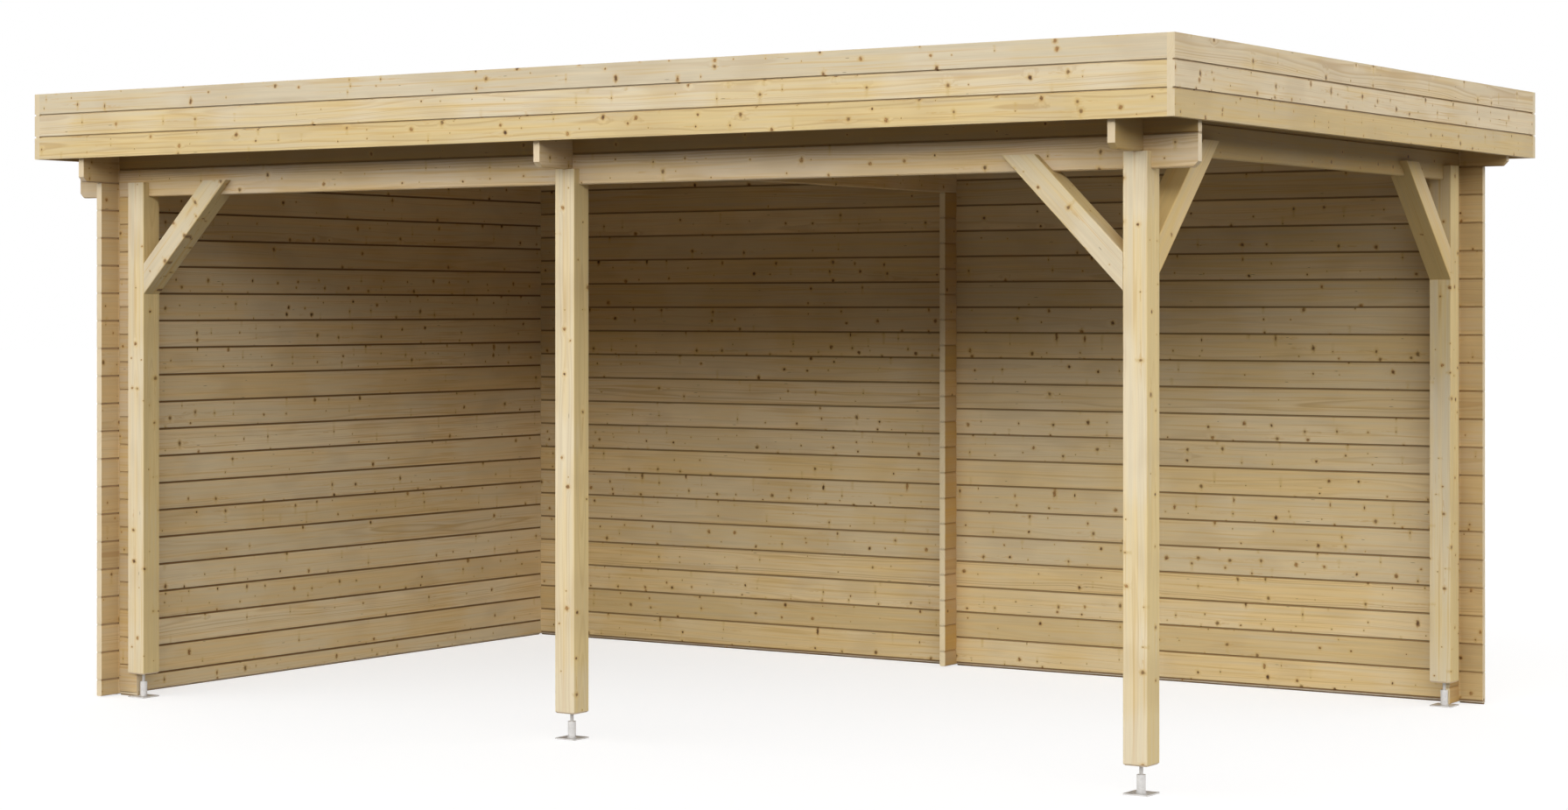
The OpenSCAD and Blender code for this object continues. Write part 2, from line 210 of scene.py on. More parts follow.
def make_planed_spruce():
    """The group that all the timber shares: year rings round a pith, knots
    where branches ran out from it, resin, fibres and end grain."""
    group = bpy.data.node_groups.new("planed spruce", "ShaderNodeTree")
    sockets = {
        "Along": "Float", "Across": "Float", "Depth": "Float", "Board": "Float",
        "End": "Float", "Shade": "Float", "Yellow": "Float", "Fresh": "Float",
        "Pale": "Color", "Warm": "Color", "Ends": "Color", "Knots": "Float",
        "Heart": "Float",
    }
    for name, kind in sockets.items():
        group.interface.new_socket(name, in_out="INPUT", socket_type="NodeSocket" + kind)
    for name, kind in (("Colour", "Color"), ("Roughness", "Float"), ("Height", "Float")):
        group.interface.new_socket(name, in_out="OUTPUT", socket_type="NodeSocket" + kind)
    given = group.nodes.new("NodeGroupInput").outputs
    along, across, depth, board, end, shade, yellow, painted_bounce = (
        Flow(group, given[i]) for i in range(8)
    )
    density = Flow(group, given["Knots"])
    heart = Flow(group, given["Heart"])
    face = 1.0 - end

    def vector(x, y, z=0.0):
        return add_node(group, "ShaderNodeCombineXYZ", {0: x, 1: y, 2: z}).outputs[0]

    def noise(place, detail=0.0):
        sockets = {"Vector": place, "Scale": 1.0, "Detail": detail}
        return add_node(group, "ShaderNodeTexNoise", sockets).outputs

    def noise_value(place, detail=0.0):
        return Flow(group, noise(place, detail)["Fac"])

    def draw_three(number):
        """Three random numbers that stay the same for the same number."""
        made = add_node(
            group, "ShaderNodeTexWhiteNoise", {"W": number}, noise_dimensions="1D"
        )
        return split(group, made.outputs["Color"])

    def scatter(place):
        """Spots strewn over a plane: the nearest one's luck, and the way to it."""
        made = add_node(
            group, "ShaderNodeTexVoronoi", {"Vector": place, "Scale": 1.0, "Randomness": 0.8},
            voronoi_dimensions="2D",
        )
        here = split(group, place)
        spot = split(group, made.outputs["Position"])
        return split(group, made.outputs["Color"]), here[0] - spot[0], here[1] - spot[1]

    def scale_colour(colour, factor):
        sockets = {0: colour, "Scale": factor}
        return add_node(group, "ShaderNodeVectorMath", sockets, operation="SCALE").outputs[0]

    def mix_colour(share, first, second):
        sockets = {0: share, 6: first, 7: second}
        return add_node(group, "ShaderNodeMix", sockets, data_type="RGBA").outputs[2]

    def grain(lengthwise, crosswise, detail=0.0):
        """Noise drawn out along the grain: its waves per metre each way."""
        place = vector(along * lengthwise, across * crosswise, depth * crosswise)
        return noise_value(place, detail)

    # Where the pith of the tree lay beside this board, or inside a post.
    nearest_pith = 0.042
    side_luck, lift_luck, distance_luck = draw_three(board)
    spacing_luck, bright_luck, warm_luck = draw_three(board + 0.37)
    arc_luck, streak_luck, knotty_luck = draw_three(board + 0.71)
    side = (1.0 - lift_luck.math("GREATER_THAN", 0.5) * 2.0) * (1.0 - heart) - heart
    wander = split(group, noise(vector(along * 0.9, board * 3.1))["Color"])
    pith_across = (side_luck - 0.5) * (0.11 - heart * 0.09)
    pith_depth = side * (1.0 - heart) * (nearest_pith + distance_luck * 0.05)
    beside_pith = across - pith_across - (wander[0] - 0.5) * 0.06
    above_pith = depth - pith_depth - (wander[1] - 0.5) * 0.02
    radius = (beside_pith * beside_pith + above_pith * above_pith).math("SQRT")
    angle = beside_pith.math("ARCTAN2", above_pith * side * -1.0)

    # Branches start at the pith and run out square to it, so a knot is round
    # where it comes out straight and long where it comes out aslant.
    branch_spacing = 0.15
    branch_turn = 0.62
    thinnest_knot = 0.0022
    thickest_knot = 0.0096
    spot_place = vector(
        along / branch_spacing + board * 5.3, angle / branch_turn + board * 2.9
    )
    (size_luck, there_luck, kind_luck), beside, over = scatter(spot_place)
    beside = beside * branch_spacing
    over = over * branch_turn * radius
    ragged = grain(110.0, 110.0) * 0.8 + 0.6
    away = (beside * beside + over * over).math("SQRT") * ragged
    there = there_luck.math("LESS_THAN", density * (0.25 + knotty_luck * 1.3))
    knot_radius = thinnest_knot + size_luck * size_luck * (thickest_knot - thinnest_knot)
    relative = away / knot_radius
    knot = there * (1.0 - relative.rise(0.5, 1.25))
    core = there * (1.0 - relative.rise(0.25, 0.95))
    halo = there * relative.hump(1.9) * (1.0 - away.rise(0.008, 0.02))
    bent = there * relative.hump(2.6)

    # Resin trails off along the grain from some knots, and a branch that lies
    # aslant under the face shows as a speckled smear across it.
    trail_length = 0.05
    smear_length = 0.022
    trail = there * kind_luck.rise(0.45, 0.6) * (over / (knot_radius * 0.5)).hump(1.0)
    trail = trail * (beside + (there_luck - 0.3) * 0.22).hump(trail_length)
    trail = trail * grain(45.0, 260.0).rise(0.42, 0.6)
    speckles = grain(300.0, 240.0).rise(0.4, 0.6)
    slanting = kind_luck.rise(0.6, 0.68)
    smear_width = 0.004 + over.math("ABSOLUTE") * 0.15
    smear = there * slanting * (beside / smear_width).hump(1.0)
    smear = smear * (over + (size_luck - 0.5) * 0.07).hump(smear_length) * (speckles + 1.0)

    # Year rings, which swell round a knot; the late wood ends each as a line.
    narrowest_ring = 0.0026
    widest_ring = 0.0054
    ring_width = narrowest_ring + spacing_luck * (widest_ring - narrowest_ring)
    years = (radius - bent * knot_radius * 0.5) / ring_width + grain(2.2, 16.0, 1.0) * 2.2
    season = years.math("FRACT")
    late = season.rise(0.15, 0.8) * (1.0 - season.rise(0.8, 1.0))
    year_luck = draw_three(years.math("FLOOR") + board * 0.713)[0]
    late = late * (0.12 + year_luck * year_luck * year_luck * 1.1) * (0.45 + arc_luck * 0.8)
    late = late * (1.0 - bent * 0.8)

    # Fine fibres, soft bands, and lengths that are paler or yellower.
    fibre = grain(8.0, 500.0, 2.0)
    bands = grain(1.3, 55.0, 2.0)
    pores = noise_value(vector(across * 900.0, depth * 900.0), 1.0)
    fibre = fibre + (pores - fibre) * end
    stretch = noise_value(vector(along * 2.1, board * 7.7, across * 3.0), 1.0)
    warmth = stretch.rise(0.44, 0.56) * 0.45 + warm_luck * 0.65 + (bands - 0.5) * 1.8 - 0.05
    warmth = (warmth + yellow).math("MAXIMUM", 0.0).math("MINIMUM", 1.0)
    streak = grain(2.6, 130.0, 1.0).rise(0.52, 0.68) * bands.rise(0.42, 0.58)
    streak = streak * (0.3 + streak_luck * 0.7)
    smudge = noise_value(vector(along * 3.4, board * 9.1, across * 9.0), 1.0).rise(0.5, 0.7)

    # Small pockets of resin, a dark dash along the grain.
    pocket_spacing = 0.25
    pocket_row = 0.05
    pocket_thickness = 0.0011
    pocket_share = 0.16
    pocket_place = vector(
        along / pocket_spacing + board * 1.9, across / pocket_row + board * 4.3
    )
    (pocket_luck, pocket_size, _), lengthways, crossways = scatter(pocket_place)
    lengthways = lengthways * pocket_spacing / (0.004 + pocket_size * 0.009)
    crossways = crossways * pocket_row / pocket_thickness
    reach = (lengthways * lengthways + crossways * crossways).math("SQRT")
    pocket = (1.0 - reach.rise(0.6, 1.2)) * pocket_luck.math("LESS_THAN", pocket_share)

    # The colours, laid over the clear wood one after the other.
    smudged_wood = (0.48, 0.35, 0.20, 1)
    late_wood = (0.45, 0.26, 0.09, 1)
    orange_streak = (0.56, 0.33, 0.09, 1)
    golden_smear = (0.56, 0.36, 0.09, 1)
    golden_halo = (0.62, 0.40, 0.12, 1)
    resin_trail = (0.56, 0.31, 0.07, 1)
    dark_knot = (0.22, 0.095, 0.025, 1)
    light_knot = (0.46, 0.235, 0.065, 1)
    knot_heart = (0.06, 0.025, 0.009, 1)
    dark_resin = (0.10, 0.05, 0.02, 1)
    painted_bounce_colour = (1.0, 0.80, 0.56, 1)
    shaded_wood = (0.18, 0.085, 0.022, 1)
    knot_colour = mix_colour(speckles, dark_knot, light_knot)
    dark_core = core * (kind_luck.rise(0.1, 0.6) - slanting * 0.4)
    brightness = 0.89 + bright_luck * 0.16 + (fibre - 0.5) * 0.14 + (bands - 0.5) * 0.3
    colour = scale_colour(mix_colour(warmth, given["Pale"], given["Warm"]), brightness)
    for share, layer in (
        (smudge * face * 0.2, smudged_wood),
        (end * 0.7, given["Ends"]),
        (late * (0.38 - heart * 0.2) * (1.0 - end * 0.5), late_wood),
        (streak * face * 0.45, orange_streak),
        (smear * face * 0.24, golden_smear),
        (halo * face * 0.6, golden_halo),
        (trail * face * 0.45, resin_trail),
        (knot * face * (0.92 - slanting * 0.3), knot_colour),
        (dark_core * face * 0.95, knot_heart),
        (pocket * face * 0.7, dark_resin),
        # The last two layers are painted light and shade: light bounced from the floor on faces
        # that look down, then shade.
        (painted_bounce, painted_bounce_colour),
        (shade, shaded_wood),
    ):
        colour = mix_colour(share, colour, layer)

    out = group.nodes.new("NodeGroupOutput")
    plug(group, colour, out.inputs["Colour"])
    roughness = 0.56 + fibre * 0.12 - knot * face * 0.12 + shade * 0.4
    plug(group, roughness, out.inputs["Roughness"])
    relief = (fibre - 0.5) * 0.00012 - late * 0.00012 + knot * face * 0.0001
    plug(group, relief, out.inputs["Height"])
    return group


planed_spruce = make_planed_spruce()


def spruce(name, along, across, depth, rows, layers, colours, **choices):
    """Timber sawn along one direction. rows is where the first board starts
    across the grain and how far apart the boards lie; layers, in depth.

    The choices: first numbers the first board; knots, heart and yellow say
    how knotty, how close to the pith and how yellow the wood is; ends is the
    colour of its end grain. yellow_rows and yellow_sides give the lowest
    boards or the narrow sides more yellow. bevel and bevel_shade paint shade
    into the V joints, but only above bevels_above; joints paints shade on
    what faces an open joint. lip paints shade on a strip all but its lip,
    damp_below paints shade on its foot, crossing paints shade, darker and
    yellower, on what stands past a crossing, and fresh_below paints light
    bounced from the floor on bevels that face down."""
    made = bpy.data.materials.new(name)
    made.use_nodes = True
    tree = made.node_tree
    coordinates = tree.nodes.new("ShaderNodeTexCoord").outputs

    def measure(vector, axis):
        sockets = {0: vector, 1: axis}
        dot = add_node(tree, "ShaderNodeVectorMath", sockets, operation="DOT_PRODUCT")
        return Flow(tree, dot.outputs["Value"])

    def board_by_board(distance, start, pitch):
        count = (distance - start) / pitch
        number = count.math("FLOOR")
        return number, (count - number - 0.5) * pitch

    fade_before_bevel = 0.0016
    fade_past_edge = 0.001
    fade_past_crossing = 0.01
    # Strengths of painted shade: on a strip's foot and top, on a foot below a height, in an open
    # joint, and on the wood past a crossing.
    foot_shade, painted_foot_shade, joint_shade, painted_shade_past_crossing = 0.8, 0.65, 0.45, 0.22
    low_board_yellow, yellow_in_painted_shade = 1.15, 0.5
    place = coordinates["Object"]
    normal = coordinates["Normal"]
    length = measure(place, along)
    height = measure(place, Z_AXIS)
    row, from_middle = board_by_board(measure(place, across), *rows)
    layer, from_centre = board_by_board(measure(place, depth), *layers)
    end = measure(normal, along).math("ABSOLUTE").rise(0.75, 0.85)
    shade = 0.0
    yellow = choices.get("yellow", 0.0)
    painted_bounce = 0.0
    # Painted shade in the V joints between the logs.
    if "bevel" in choices:
        edge = rows[1] / 2 - choices["bevel"]
        off_middle = from_middle.math("ABSOLUTE")
        shade = off_middle.rise(edge - fade_before_bevel, edge + fade_past_edge)
        shade = shade * choices["bevel_shade"]
    if "bevels_above" in choices:
        shade = shade * height.math("GREATER_THAN", choices["bevels_above"])
    # Painted shade over the strip, all but its lip.
    if "lip" in choices:
        low, high = choices["lip"]
        lip = height.math("GREATER_THAN", low) - height.math("GREATER_THAN", high)
        shade = (1.0 - lip) * foot_shade
    # Painted shade on the strip's foot.
    if "damp_below" in choices:
        shade = height.math("LESS_THAN", choices["damp_below"]) * painted_foot_shade
    if "yellow_rows" in choices:
        lowest = row.math("LESS_THAN", choices["yellow_rows"] - 0.5)
        yellow = lowest * low_board_yellow + yellow
    if "yellow_sides" in choices:
        sideness = measure(normal, across).math("ABSOLUTE")
        yellow = sideness * choices["yellow_sides"] + yellow
    # Painted shade past a crossing, darker and yellower, and less on end grain.
    if "crossing" in choices:
        crossing = choices["crossing"]
        past = length.math("ABSOLUTE").rise(crossing, crossing + fade_past_crossing)
        yellow = past * (1.0 - end) * yellow_in_painted_shade + yellow
        shade = (shade * (1.0 - past * 0.55) + past * painted_shade_past_crossing) * (1.0 - end * 0.6)
    # Painted shade on the faces inside an open joint.
    if "joints" in choices:
        low, high = choices["joints"]
        inside = height.math("GREATER_THAN", low) * height.math("LESS_THAN", high)
        up_or_down = measure(normal, Z_AXIS).math("ABSOLUTE")
        shade = up_or_down.rise(0.5, 0.7) * inside * joint_shade
    # Painted light bounced from the floor, on faces that look down.
    if "fresh_below" in choices:
        painted_bounce = measure(normal, -Z_AXIS).rise(0.5, 0.7) * choices["fresh_below"]
    inputs = {
        "Along": length,
        "Across": from_middle,
        "Depth": from_centre,
        "Board": row + layer * 31.7 + choices["first"],
        "End": end,
        "Shade": shade,
        "Yellow": yellow,
        "Fresh": painted_bounce,
        "Pale": colours[0],
        "Warm": colours[1],
        "Ends": choices.get("ends", (0.80, 0.67, 0.47, 1)),
        "Knots": choices.get("knots", 0.65),
        "Heart": choices.get("heart", 0.0),
    }
    timber = tree.nodes.new("ShaderNodeGroup")
    timber.node_tree = planed_spruce
    for key, value in inputs.items():
        plug(tree, value, timber.inputs[key])
    bump = add_node(tree, "ShaderNodeBump", {"Height": timber.outputs["Height"], "Distance": 1.0})
    shader = tree.nodes["Principled BSDF"]
    plug(tree, timber.outputs["Colour"], shader.inputs["Base Color"])
    plug(tree, timber.outputs["Roughness"], shader.inputs["Roughness"])
    plug(tree, bump.outputs[0], shader.inputs["Normal"])
    shader.inputs["Specular IOR Level"].default_value = 0.3
    return made


def finish_nodes(material, *names):
    """Gives nodes of the frame this material."""
    for name in names:
        for slot in nodes[name].material_slots:
            slot.material = material


def one_board(middle):
    """A row as wide as any piece, so that the whole piece is a single board."""
    row_width = 1.0
    return middle - row_width / 2, row_width


half_log = 0.014
bay = -(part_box("left_wall_top_log")[0].x + half_log)
half_depth = -(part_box("front_beam_lower_log")[0].y + half_log)
layers_to_back = (-2 * half_depth, 2 * half_depth)
layers_to_right = (-1.5 * bay, bay)
strip_lip = (0.0065, 0.011)
strip_colours = ((0.60, 0.54, 0.44, 1), (0.55, 0.47, 0.34, 1))
log_toned_colours = ((0.62, 0.50, 0.32, 1), (0.57, 0.43, 0.22, 1))

back_strip_wood = spruce(
    "back base strips", X_AXIS, Z_AXIS, Y_AXIS, one_board(0.0), layers_to_back,
    strip_colours, first=3.0, knots=0.2, lip=strip_lip,
)
finish_nodes(back_strip_wood, "back_base_strips")
left_strip_wood = spruce(
    "left base strips", Y_AXIS, Z_AXIS, X_AXIS, one_board(0.0), layers_to_right,
    log_toned_colours, first=4.0, knots=0.2, damp_below=strip_lip[0],
)
finish_nodes(left_strip_wood, "left_base_strips")


# ------------------------------------------------------------------ Left wall
# Spruce logs, 28 mm thick, that cover 114 mm each and are notched over and
# under the cross logs. A tongue fills the next log's groove, between bevels.
course = 0.114
base_height = 0.014
log_bevel = 0.004
long_rows = (base_height, course)
cross_rows = (base_height - course / 2, course)

# The left wall's colours are a lighter copy of the log colours, painted light for the light
# reaching this wall inside the room. Past the crossing at the front the logs take painted shade,
# and the half log's lower bevel painted light bounced from the floor.
left_wall_wood = spruce(
    "left wall logs", Y_AXIS, Z_AXIS, X_AXIS, cross_rows, layers_to_right,
    ((0.80, 0.65, 0.41, 1), (0.75, 0.55, 0.28, 1)), first=11.0, bevel=log_bevel,
    bevel_shade=0.93, crossing=half_depth + half_log, fresh_below=1.0,
)
finish_nodes(
    left_wall_wood,
    "left_wall_odd_logs", "left_wall_even_logs", "left_wall_top_log", "left_taper_log",
)


# ------------------------------------------------------------------ Back wall
# The same logs along the back, half a course out of step with the left
# wall's. Past the last crossing they are painted darker and yellower, as
# shade, and their end grain less so.
back_wall_wood = spruce(
    "back wall logs", X_AXIS, Z_AXIS, Y_AXIS, long_rows, layers_to_back,
    ((0.78, 0.625, 0.375, 1), (0.73, 0.54, 0.26, 1)), first=5.0, bevel=log_bevel,
    bevel_shade=0.7, crossing=bay + half_log, ends=(0.74, 0.61, 0.41, 1),
)
finish_nodes(back_wall_wood, "back_wall_odd_logs", "back_wall_even_logs", "back_wall_top_log")


# ------------------------------------------------------------------ Cross logs
# Short lengths of the same log, notched through the walls to stiffen them:
# at the left wall's front end, in mid back wall, and at its right end.
# The left cross logs are a darker copy of the log colours, painted shade beside the post, and all
# of them that shows takes the painted shade past the crossing.
left_stub_wood = spruce(
    "left cross logs", X_AXIS, Z_AXIS, Y_AXIS, long_rows, layers_to_back,
    ((0.67, 0.53, 0.34, 1), (0.61, 0.43, 0.19, 1)), first=5.0, bevel=log_bevel,
    bevel_shade=0.3, crossing=bay + half_log,
)
finish_nodes(left_stub_wood, "front_left_stub_odd_logs", "front_left_stub_even_logs")
back_stub_wood = spruce(
    "back cross logs", Y_AXIS, Z_AXIS, X_AXIS, cross_rows, layers_to_right,
    ((0.59, 0.40, 0.20, 1), (0.54, 0.33, 0.10, 1)), first=11.0, bevel=log_bevel,
    bevel_shade=0.3, ends=(0.98, 0.86, 0.58, 1),
)
finish_nodes(
    back_stub_wood,
    "middle_stub_odd_logs", "middle_stub_even_logs",
    "back_right_stub_odd_logs", "back_right_stub_even_logs",
)


# ------------------------------------------------------------------ Beams
# Whole logs from roof edge to roof edge, with free bevels along their lower
# edges. The half log and the ripped logs on them fill up to the roof boards.
# The shaded copies of the beam colours are painted shade: the side beam's, and darker still the
# upper front beam's, under the fascia's overhang.
beam_colours = ((0.73, 0.58, 0.38, 1), (0.68, 0.49, 0.24, 1))
shaded_beam_colours = ((0.54, 0.385, 0.18, 1), (0.50, 0.335, 0.115, 1))
overhang_shaded_beam_colours = ((0.47, 0.315, 0.13, 1), (0.435, 0.275, 0.085, 1))
free_edge = 0.02
front_beam_wood = spruce(
    "front beam", X_AXIS, Z_AXIS, Y_AXIS, long_rows, layers_to_back, beam_colours,
    first=5.0, bevel=log_bevel, bevel_shade=0.5,
    bevels_above=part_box("front_beam_lower_log")[0].z + free_edge,
)
finish_nodes(front_beam_wood, "front_beam_lower_log")
upper_beam_wood = spruce(
    "upper front beam", X_AXIS, Z_AXIS, Y_AXIS, long_rows, layers_to_back,
    overhang_shaded_beam_colours, first=5.0, bevel=log_bevel, bevel_shade=0.5,
)
finish_nodes(upper_beam_wood, "front_beam_upper_log", "front_beam_half_log")
middle_beam_wood = spruce(
    "middle beam", Y_AXIS, Z_AXIS, X_AXIS, cross_rows, layers_to_right, beam_colours,
    first=11.0, bevel=log_bevel, bevel_shade=0.5,
    bevels_above=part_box("middle_beam_log")[0].z + free_edge,
)
finish_nodes(middle_beam_wood, "middle_beam_log", "middle_taper_log")
side_beam_wood = spruce(
    "side beam", Y_AXIS, Z_AXIS, X_AXIS, cross_rows, layers_to_right,
    shaded_beam_colours, first=11.0, bevel=log_bevel, bevel_shade=0.5,
    bevels_above=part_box("side_beam_log")[0].z + free_edge,
)
finish_nodes(side_beam_wood, "side_beam_log", "side_taper_log")


# ------------------------------------------------------------------ Posts
# Square bars with the heart of the tree inside, planed on four sides. Their
# sides are painted yellower than their fronts, and their lower bevels take
# painted light bounced from the floor.
post_colours = ((0.775, 0.66, 0.455, 1), (0.72, 0.555, 0.27, 1))
for number, (name, yellow) in enumerate((
    ("front_left_post", -0.4),
    ("middle_post", -0.4),
    ("corner_post", -0.4),
    ("back_right_post", 0.2),
)):
    low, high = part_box(name)
    centre = (low + high) / 2
    post_wood = spruce(
        name.replace("_", " "), Z_AXIS, X_AXIS, -Y_AXIS,
        one_board(centre.x), one_board(-centre.y), post_colours,
        first=50.0 + 3.3 * number, heart=1.0, knots=0.45, yellow=yellow,
        yellow_sides=0.9, fresh_below=1.0,
    )
    finish_nodes(post_wood, name)


# ------------------------------------------------------------------ Braces
# Bars of the same section at 45 degrees, slotted over the beam at the top
# and cut to stand against the post at the foot.
side_brace_colours = ((0.68, 0.53, 0.31, 1), (0.64, 0.46, 0.19, 1))
for number, (name, lean, outwards, colours, yellow) in enumerate((
    ("front_left_brace", X_AXIS, -Y_AXIS, post_colours, -0.4),
    ("corner_front_brace", -X_AXIS, -Y_AXIS, post_colours, -0.4),
    ("corner_side_brace", Y_AXIS, X_AXIS, side_brace_colours, 0.0),
    ("back_right_brace", -Y_AXIS, X_AXIS, side_brace_colours, 0.4),
)):
    low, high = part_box(name)
    centre = (low + high) / 2
    along = (lean + Z_AXIS).normalized()
    across = (lean - Z_AXIS).normalized()
    brace_wood = spruce(
        name.replace("_", " "), along, across, outwards,
        one_board(centre.dot(across)), one_board(centre.dot(outwards)), colours,
        first=70.0 + 3.3 * number, heart=1.0, knots=0.5, yellow=yellow, yellow_sides=0.6,
    )
    finish_nodes(brace_wood, name)


# ------------------------------------------------------------------ Post feet
# A square steel plate with a tube welded on, hot-dip galvanised: a matt
# warm grey with soft spangles. The weld is a rippled bead round the tube.
def galvanised_steel():
    spangle_size = 0.006
    made = bpy.data.materials.new("galvanised steel")
    made.use_nodes = True
    tree = made.node_tree
    place = tree.nodes.new("ShaderNodeTexCoord").outputs["Object"]
    sockets = {"Vector": place, "Scale": 1 / spangle_size}
    spangles = add_node(tree, "ShaderNodeTexVoronoi", sockets)
    spangle_luck = split(tree, spangles.outputs["Color"])[0]
    sockets = {"Vector": place, "Scale": 40.0, "Detail": 3.0}
    clouds = add_node(tree, "ShaderNodeTexNoise", sockets)
    level = spangle_luck * 0.06 + Flow(tree, clouds.outputs["Fac"]) * 0.30 + 0.49
    sockets = {0: (1.0, 0.975, 0.945), "Scale": level}
    tint = add_node(tree, "ShaderNodeVectorMath", sockets, operation="SCALE")
    sockets = {"Height": spangle_luck * 0.00006, "Distance": 1.0}
    bump = add_node(tree, "ShaderNodeBump", sockets)
    shader = tree.nodes["Principled BSDF"]
    plug(tree, tint.outputs[0], shader.inputs["Base Color"])
    plug(tree, spangle_luck * 0.08 + 0.46, shader.inputs["Roughness"])
    plug(tree, bump.outputs[0], shader.inputs["Normal"])
    shader.inputs["Metallic"].default_value = 0.75
    return made


def skin(name, rings, closed, smooth):
    """A mesh over rings of points: closed into a loop, or capped at its ends."""
    built = bmesh.new()
    rows = [[built.verts.new(point) for point in ring] for ring in rings]
    pairs = list(zip(rows, rows[1:]))
    if closed:
        pairs.append((rows[-1], rows[0]))
    for below, above in pairs:
        for i in range(len(below)):
            j = (i + 1) % len(below)
            face = built.faces.new((below[i], below[j], above[j], above[i]))
            face.smooth = smooth
    if not closed:
        built.faces.new(rows[0])
        built.faces.new(rows[-1])
    bmesh.ops.recalc_face_normals(built, faces=built.faces)
    made = bpy.data.meshes.new(name)
    built.to_mesh(made)
    built.free()
    return made


def add_piece(name, mesh, material):
    """Puts a finished mesh on the frame as a piece with this material."""
    mesh.materials.clear()
    mesh.materials.append(material)
    piece = bpy.data.objects.new(name, mesh)
    scene.collection.objects.link(piece)
    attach(piece, "root")
    return piece


def circle(centre, first, second, radius, sides):
    """Points round a centre, in the plane of two directions."""
    points = []
    for side in range(sides):
        turn = math.tau * side / sides
        points.append(centre + (first * math.cos(turn) + second * math.sin(turn)) * radius)
    return points


feet = ("front_left", "middle", "corner", "back_right")
plate_thickness = 0.005
tube_radius = 0.015
bead_radius = 0.0026
bead_ripple = 0.0005
bead_sides = 8
ripples = 18
steps_per_ripple = 4

steel = galvanised_steel()
for foot in feet:
    finish_nodes(steel, foot + "_foot")
    low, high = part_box(foot + "_foot")
    tube_foot = Vector(((low.x + high.x) / 2, (low.y + high.y) / 2, plate_thickness))
    rings = []
    for step in range(ripples * steps_per_ripple):
        turn = math.tau * step / (ripples * steps_per_ripple)
        outwards = Vector((math.cos(turn), math.sin(turn), 0))
        thickness = bead_radius + bead_ripple * math.sin(turn * ripples)
        middle = tube_foot + outwards * tube_radius
        rings.append(circle(middle, outwards, Z_AXIS, thickness, bead_sides))
    bead = skin(foot + " weld bead", rings, closed=True, smooth=True)
    add_piece(foot + "_weld_bead", bead, steel)


# ------------------------------------------------------------------ Threaded rods
# M14 rod with a 2 mm pitch, screwed into the tube and let into the post's
# end, so that each post can be set level. A thumb's width of it shows.
rod_radius = 0.007
thread_pitch = 0.002
thread_depth = 0.0011
thread_steepness = 1.3
thread_cover = 0.006
rows_per_turn = 8
rod_sides = 24

for foot in feet:
    low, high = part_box(foot + "_stem")
    axis = Vector(((low.x + high.x) / 2, (low.y + high.y) / 2, 0))
    thread_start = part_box(foot + "_foot")[1].z - thread_cover
    thread_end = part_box(foot + "_post")[0].z + thread_cover
    rows = round((thread_end - thread_start) / thread_pitch * rows_per_turn)
    root = rod_radius - thread_depth
    rings = [circle(axis + Z_AXIS * low.z, X_AXIS, Y_AXIS, root, rod_sides)]
    for row in range(rows + 1):
        height = thread_start + (thread_end - thread_start) * row / rows
        ring = []
        for side in range(rod_sides):
            turn = side / rod_sides
            flank = abs(2 * ((height / thread_pitch - turn) % 1.0) - 1)
            radius = rod_radius - thread_depth * min(1.0, thread_steepness * flank)
            outwards = Vector((math.cos(math.tau * turn), math.sin(math.tau * turn), 0))
            ring.append(axis + Z_AXIS * height + outwards * radius)
        rings.append(ring)
    rings.append(circle(axis + Z_AXIS * high.z, X_AXIS, Y_AXIS, root, rod_sides))
    rod = skin(foot + " threaded rod", rings, closed=False, smooth=True)
    piece = add_piece(foot + "_threaded_rod", rod, steel)
    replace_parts(piece, foot + "_stem")


# ------------------------------------------------------------------ Purlins
# Five sawn bars from fascia to fascia, let into the ripped logs so that
# their tops lie in the roof's fall.
roof_colours = ((0.74, 0.59, 0.40, 1), (0.68, 0.49, 0.24, 1))
low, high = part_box("roof_purlins")
purlin_count = 5
purlin_pitch = 2 * half_depth / (purlin_count + 1)
purlin_wood = spruce(
    "purlins", X_AXIS, Z_AXIS, Y_AXIS, one_board((low.z + high.z) / 2),
    (-half_depth - purlin_pitch / 2, purlin_pitch), roof_colours, first=61.0,
)
finish_nodes(purlin_wood, "roof_purlins")


# ------------------------------------------------------------------ Roof boards
# Tongued and grooved spruce boards, 19 mm thick, nailed across the purlins
# from front to back. Bevels along their lower edges show as V joints.
deck_thickness = 0.019
deck_bevel = 0.004
deck_joint = 0.0004
deck_boards = 54
deck_low, deck_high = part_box("roof_deck")
deck_pitch = (deck_high.x - deck_low.x) / deck_boards
deck_length = deck_high.y - deck_low.y
deck_drop = deck_high.z - deck_low.z - deck_thickness


